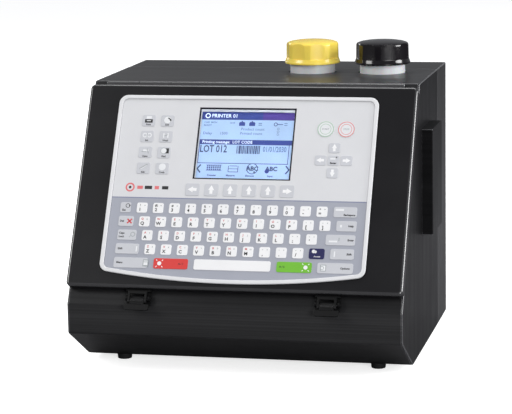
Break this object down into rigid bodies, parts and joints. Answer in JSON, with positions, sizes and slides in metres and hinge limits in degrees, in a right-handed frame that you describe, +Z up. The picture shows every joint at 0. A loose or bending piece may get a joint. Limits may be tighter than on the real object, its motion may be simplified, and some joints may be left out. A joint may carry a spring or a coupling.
{
  "type": "date code inkjet printer",
  "caption": "Benchtop inkjet date coder: sloped keyboard and display door, top filler caps, side fan hood, and ink and electronic parts inside a black cabinet.",
  "frame": {"origin": "centre of the object's box, on the surface that the feet stand on", "axes": "+X to the right of somebody facing the keyboard, +Y to the rear, +Z up"},
  "size_m": [0.4226, 0.4175, 0.381],
  "materials": {
    "cabinet_black": "satin black over brushed sheet",
    "door_black": "fine satin black",
    "inner_steel": "bare brushed sheet",
    "zinc_hardware": "bright plated",
    "black_rubber": "matt",
    "latch_black": "black coated pressed steel",
    "black_plastic": "fine moulded grain",
    "panel_grey": "satin moulded",
    "film_grey": "fine printed film",
    "key_white": "embossed printed film",
    "key_grey": "embossed printed film",
    "key_red": "embossed printed film",
    "key_green": "embossed printed film",
    "key_navy": "embossed printed film",
    "lcd_glass": "clear polished window",
    "lcd_metal": "pressed display can",
    "circuit_board": "solder-resist green",
    "component_black": "moulded packages",
    "tank_white": "milky blown bottle",
    "cap_yellow": "glossy moulded",
    "cap_black": "glossy moulded",
    "seal_white": "soft disc",
    "pump_metal": "turned and anodised",
    "filter_white": "moulded",
    "hose_clear": "milky tube",
    "brass_pins": "bright"
  },
  "bodies": {
    "cabinet": {"board_components": "component_black", "cabinet_wrapper": "cabinet_black", "cover_screws": "zinc_hardware", "door_gasket": "black_rubber", "drip_tray": "inner_steel", "electronics_plate": "inner_steel", "fan_frame": "black_plastic", "fan_screws": "zinc_hardware", "feed_hoses": "hose_clear", "feet": "black_rubber", "foot_nuts": "zinc_hardware", "gland_locknut": "black_plastic", "hinge_leaf_fixed": "cabinet_black", "ink_tank": "tank_white", "inlet_pins": "brass_pins", "latch_bases": "latch_black", "latch_pins": "zinc_hardware", "left_side_panel": "cabinet_black", "main_board": "circuit_board", "main_filter": "filter_white", "mains_inlet": "black_plastic", "power_supply": "inner_steel", "pump_head": "pump_metal", "pump_motor": "pump_metal", "rear_cover": "cabinet_black", "right_side_panel": "cabinet_black", "seam_ring": "inner_steel", "sensor_sockets": "zinc_hardware", "side_hood": "cabinet_black", "socket_dust_caps": "black_rubber", "solvent_tank": "tank_white", "umbilical_gland": "black_plastic", "valve_block": "pump_metal"},
    "door": {"front_door": "door_black", "panel_rim": "panel_grey", "panel_film": "film_grey", "lcd_window": "lcd_glass", "letter_keys": "key_white", "grey_keys": "key_grey", "red_key": "key_red", "green_key": "key_green", "navy_key": "key_navy", "round_keys": "key_white", "lcd_module": "lcd_metal", "board_bosses": "zinc_hardware", "display_board": "circuit_board", "hinge_leaf_moving": "door_black", "hinge_pin": "zinc_hardware", "latch_lugs": "latch_black"},
    "left_lever": {"left_latch_lever": "latch_black"},
    "left_link": {"left_latch_link": "latch_black"},
    "right_lever": {"right_latch_lever": "latch_black"},
    "right_link": {"right_latch_link": "latch_black"},
    "ink_seal": {"ink_cap_seal": "seal_white"},
    "ink_knob": {"ink_cap": "cap_yellow"},
    "solvent_seal": {"solvent_cap_seal": "seal_white"},
    "solvent_knob": {"solvent_cap": "cap_black"},
    "fan": {"fan_rotor": "black_plastic"},
    "pump_drive": {"pump_coupling": "pump_metal"},
    "rocker": {"rocker_switch": "black_plastic"}
  },
  "joints": [
    {"name": "door_hinge", "type": "hinge", "parent": "cabinet", "child": "door", "pos_m": [-0.00675, -0.05668, 0.33764], "axis": [-1, 0, 0], "range_deg": [0, 85]},
    {"name": "left_lever_pivot", "type": "hinge", "parent": "cabinet", "child": "left_lever", "pos_m": [-0.12175, -0.19583, 0.09743], "axis": [-1, 0, 0], "range_deg": [0, 75]},
    {"name": "left_link_pivot", "type": "hinge", "parent": "left_lever", "child": "left_link", "pos_m": [-0.12175, -0.20135, 0.09427], "axis": [-1, 0, 0], "range_deg": [-122, 1]},
    {"name": "right_lever_pivot", "type": "hinge", "parent": "cabinet", "child": "right_lever", "pos_m": [0.10825, -0.19583, 0.09743], "axis": [-1, 0, 0], "range_deg": [0, 75]},
    {"name": "right_link_pivot", "type": "hinge", "parent": "right_lever", "child": "right_link", "pos_m": [0.10825, -0.20135, 0.09427], "axis": [-1, 0, 0], "range_deg": [-122, 1]},
    {"name": "ink_cap_lift", "type": "slide", "parent": "cabinet", "child": "ink_seal", "axis": [0, 0, 1], "range_m": [0, 0.06]},
    {"name": "ink_cap_turn", "type": "hinge", "parent": "ink_seal", "child": "ink_knob", "pos_m": [0.04225, 0.067, 0.357], "axis": [0, 0, 1], "range_deg": [0, 630]},
    {"name": "solvent_cap_lift", "type": "slide", "parent": "cabinet", "child": "solvent_seal", "axis": [0, 0, 1], "range_m": [0, 0.06]},
    {"name": "solvent_cap_turn", "type": "hinge", "parent": "solvent_seal", "child": "solvent_knob", "pos_m": [0.13225, 0.067, 0.357], "axis": [0, 0, 1], "range_deg": [0, 630]},
    {"name": "fan_spin", "type": "hinge", "parent": "cabinet", "child": "fan", "pos_m": [0.18325, -0.0005, 0.229], "axis": [1, 0, 0], "continuous": true},
    {"name": "pump_spin", "type": "hinge", "parent": "cabinet", "child": "pump_drive", "pos_m": [0.10925, 0.0545, 0.051], "axis": [1, 0, 0], "continuous": true},
    {"name": "rocker_tilt", "type": "hinge", "parent": "cabinet", "child": "rocker", "pos_m": [-0.12675, 0.1805, 0.0925], "axis": [1, 0, 0], "range_deg": [0, 16]}
  ],
  "couplings": [
    {"joint": "left_link_pivot", "follows": "left_lever_pivot", "ratio": -1.6},
    {"joint": "right_link_pivot", "follows": "right_lever_pivot", "ratio": -1.6}
  ]
}
